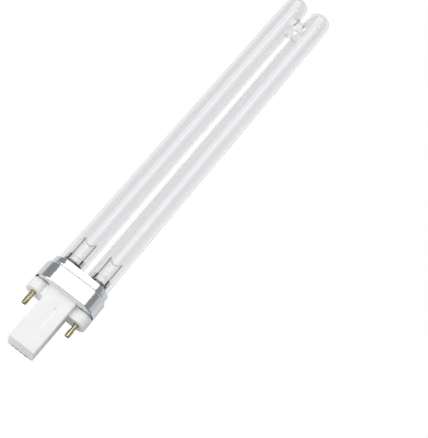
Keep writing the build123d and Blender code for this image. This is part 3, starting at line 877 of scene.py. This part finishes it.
make_twin_tube()
for name, side, joint_node in (("left", -1, "left_ferrule"), ("right", 1, "right_ferrule")):
    ferrule_low, ferrule_high = box_mm(joint_node)
    make_stem(name, side)
    make_leads(name, side, (ferrule_low.x + ferrule_high.x) / 2)
    make_coil(name, side)
make_mercury()
make_shell()
make_base()
make_cover()
make_painted_seam_shade()
make_pin("left", -1, math.radians(90))
make_pin("right", 1, math.radians(0))

# CAD nodes that stay, each with its real finish
KEPT = {"cement": cement_grey, "tube_holder": ceramic, "starter_bulb": pressed_glass,
        "starter_stem": pressed_glass, "starter_fixed_lead": nickel,
        "starter_hinged_lead": nickel, "starter_bimetal": strip_metal, "capacitor": lacquer,
        "capacitor_leads": tin, "solder_joints": tin, "left_ferrule": tin, "right_ferrule": tin}
for node, material in KEPT.items():
    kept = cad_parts[node]
    kept.data.materials.clear()
    kept.data.materials.append(material)


# Stage, light and camera


FLOOR_HALF = 4.0
FLOOR_GRIT = 3.0
FLOOR_ROUGHNESS = 0.8
LENS = 82.5
SENSOR = 36.0
CLIP_START = 0.01
CAMERA_PLACE = (51.40, -135.20, 405.93)     # millimetres
CAMERA_AIM = (-0.0496, 0.4681, -0.8823)
CAMERA_UP = (-0.6071, 0.6873, 0.3988)
# Name, place, target, size in metres, and power in watts
LIGHTS = (("overhead_softbox", (-0.1, 0.62, 1.1), (0, 0.09, 0), (1.0, 2.0), 11.0),
          ("front_softbox", (-0.8, -0.8, 1.0), (0, 0, 0), (0.9, 0.7), 9.8),
          ("right_card", (1.25, 0.7, 0.35), (0, 0, 0), (0.8, 0.7), 0.6))


def make_floor():
    """Pale card that throws back soft light, and looks plain white itself and through glass."""
    material, tree, output, coords = new_material("pale_matt_floor")
    card = add_node(tree, "ShaderNodeBsdfPrincipled", {"Roughness": FLOOR_ROUGHNESS},
                    two_tones(tree, (coords, "Object"), FLOOR_GRIT, 3.0, "#E2E3E4", "#E8E9EA"))
    lit = add_node(tree, "ShaderNodeEmission", {"Color": colour("#FFFFFF"), "Strength": 1.0})
    path = add_node(tree, "ShaderNodeLightPath")
    seen = add_node(tree, "ShaderNodeMath", {"operation": "MAXIMUM"},
                    {0: (path, "Is Camera Ray"), 1: (path, "Is Transmission Ray")})
    mix = add_node(tree, "ShaderNodeMixShader", None,
                   {0: (seen, "Value"), 1: (card, 0), 2: (lit, 0)})
    tree.links.new(mix.outputs[0], output.inputs["Surface"])
    bm = bmesh.new()
    bmesh.ops.create_grid(bm, x_segments=1, y_segments=1, size=FLOOR_HALF,
                          matrix=Matrix.Translation((0, 0, cad_low.z)))
    mesh = bpy.data.meshes.new("floor")
    bm.to_mesh(mesh)
    bm.free()
    mesh.materials.append(material)
    floor = bpy.data.objects.new("floor", mesh)
    bpy.context.scene.collection.objects.link(floor)


def make_light(name, place, target, size, power):
    data = bpy.data.lights.new(name, "AREA")
    data.shape = "RECTANGLE"
    data.size, data.size_y = size
    data.energy = power
    light = bpy.data.objects.new(name, data)
    light.location = place
    light.rotation_euler = (Vector(target) - Vector(place)).to_track_quat("-Z", "Y").to_euler()
    bpy.context.scene.collection.objects.link(light)


def make_world():
    world = bpy.data.worlds.new("soft_studio")
    bpy.context.scene.world = world
    world.use_nodes = True
    background = world.node_tree.nodes["Background"]
    background.inputs["Color"].default_value = colour("#909192")
    background.inputs["Strength"].default_value = 1.0


def make_camera():
    """Looks down on the lamp from its cap end, turned so that the lamp runs up to the right."""
    data = bpy.data.cameras.new("camera")
    data.sensor_width = SENSOR
    data.lens = LENS
    data.clip_start = CLIP_START
    camera = bpy.data.objects.new("camera", data)
    aim = Vector(CAMERA_AIM).normalized()
    right = aim.cross(Vector(CAMERA_UP)).normalized()
    turn = Matrix((right, right.cross(aim), -aim)).transposed().to_4x4()
    camera.matrix_world = Matrix.Translation(Vector(CAMERA_PLACE) * MM) @ turn
    bpy.context.scene.collection.objects.link(camera)
    bpy.context.scene.camera = camera


make_floor()
for light in LIGHTS:
    make_light(*light)
make_world()
make_camera()
bpy.context.scene.view_settings.view_transform = "Standard"
